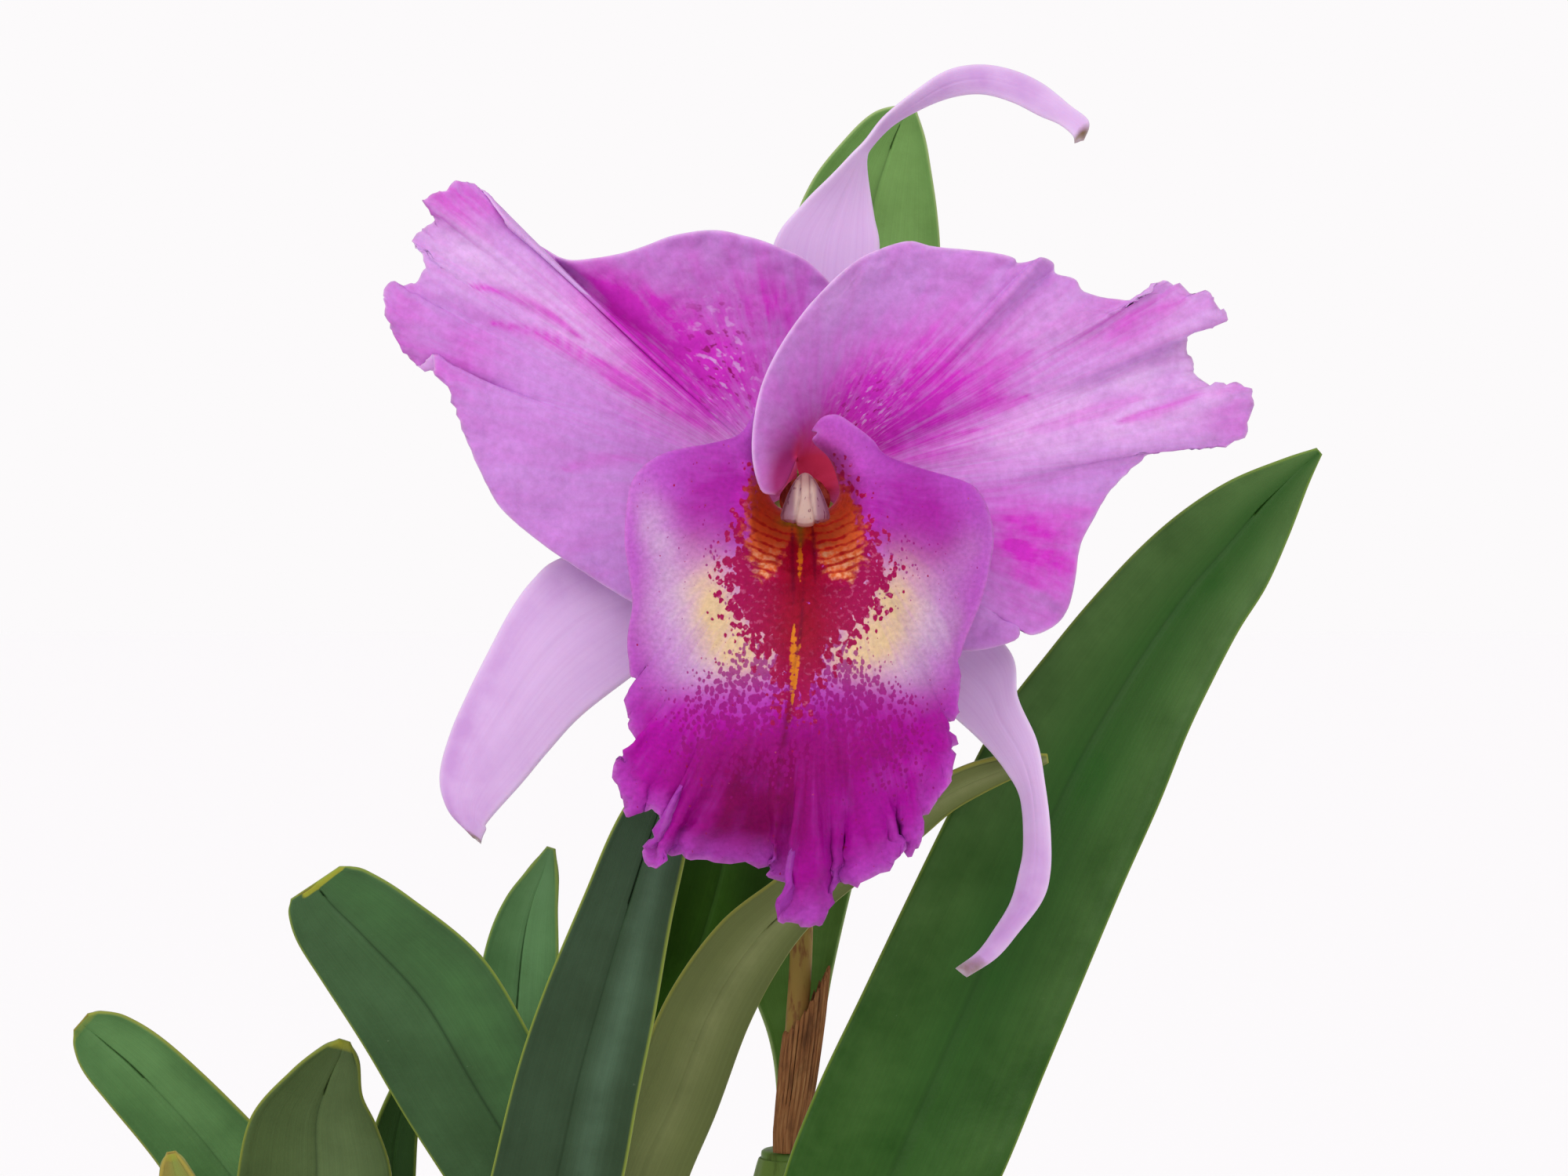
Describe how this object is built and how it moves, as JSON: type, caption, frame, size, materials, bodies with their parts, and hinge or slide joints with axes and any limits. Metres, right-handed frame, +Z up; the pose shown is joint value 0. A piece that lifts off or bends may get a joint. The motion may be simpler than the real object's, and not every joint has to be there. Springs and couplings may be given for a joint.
{
  "type": "cattleya orchid",
  "caption": "Potted cattleya orchid in bloom, with a large lilac flower, a ruffled purple lip and leathery leaves on pseudobulbs, growing in bark in a plain clay pot.",
  "frame": {"origin": "centre of the pot's foot, on the surface that it stands on", "axes": "+Z up, -Y the way that the flower faces, +X to the flower's right as it is looked at"},
  "size_m": [0.2394, 0.14, 0.4562],
  "materials": {
    "petal": "satin",
    "sepal": "satin",
    "lip": "satin",
    "column": "satin",
    "anther_cap": "satin",
    "leaf": "satin",
    "stalk": "satin",
    "sheath": "matte",
    "bulb": "satin",
    "root": "matte",
    "bark": "matte",
    "clay": "matte"
  },
  "bodies": {
    "root": {"right_petal": "petal", "left_petal": "petal", "lip": "lip", "dorsal_sepal": "sepal", "left_lateral_sepal": "sepal", "right_lateral_sepal": "sepal", "column": "column", "anther_cap": "anther_cap", "flower_stalk": "stalk", "flower_sheath": "sheath", "leaf_right": "leaf", "leaf_back": "leaf", "leaf_centre": "leaf", "leaf_arching": "leaf", "leaf_left": "leaf", "leaf_far_left": "leaf", "leaf_blunt": "leaf", "leaf_young": "leaf", "leaf_narrow": "leaf", "leaf_upright": "leaf", "leaf_shaded": "leaf", "bulb_flowering": "bulb", "bulb_right": "bulb", "bulb_middle": "bulb", "bulb_front": "bulb", "bulb_left": "bulb", "bulb_far_left": "bulb", "bulb_back": "bulb", "bulb_leafless": "bulb", "rhizome": "root", "bark": "bark", "pot": "clay"}
  },
  "joints": []
}
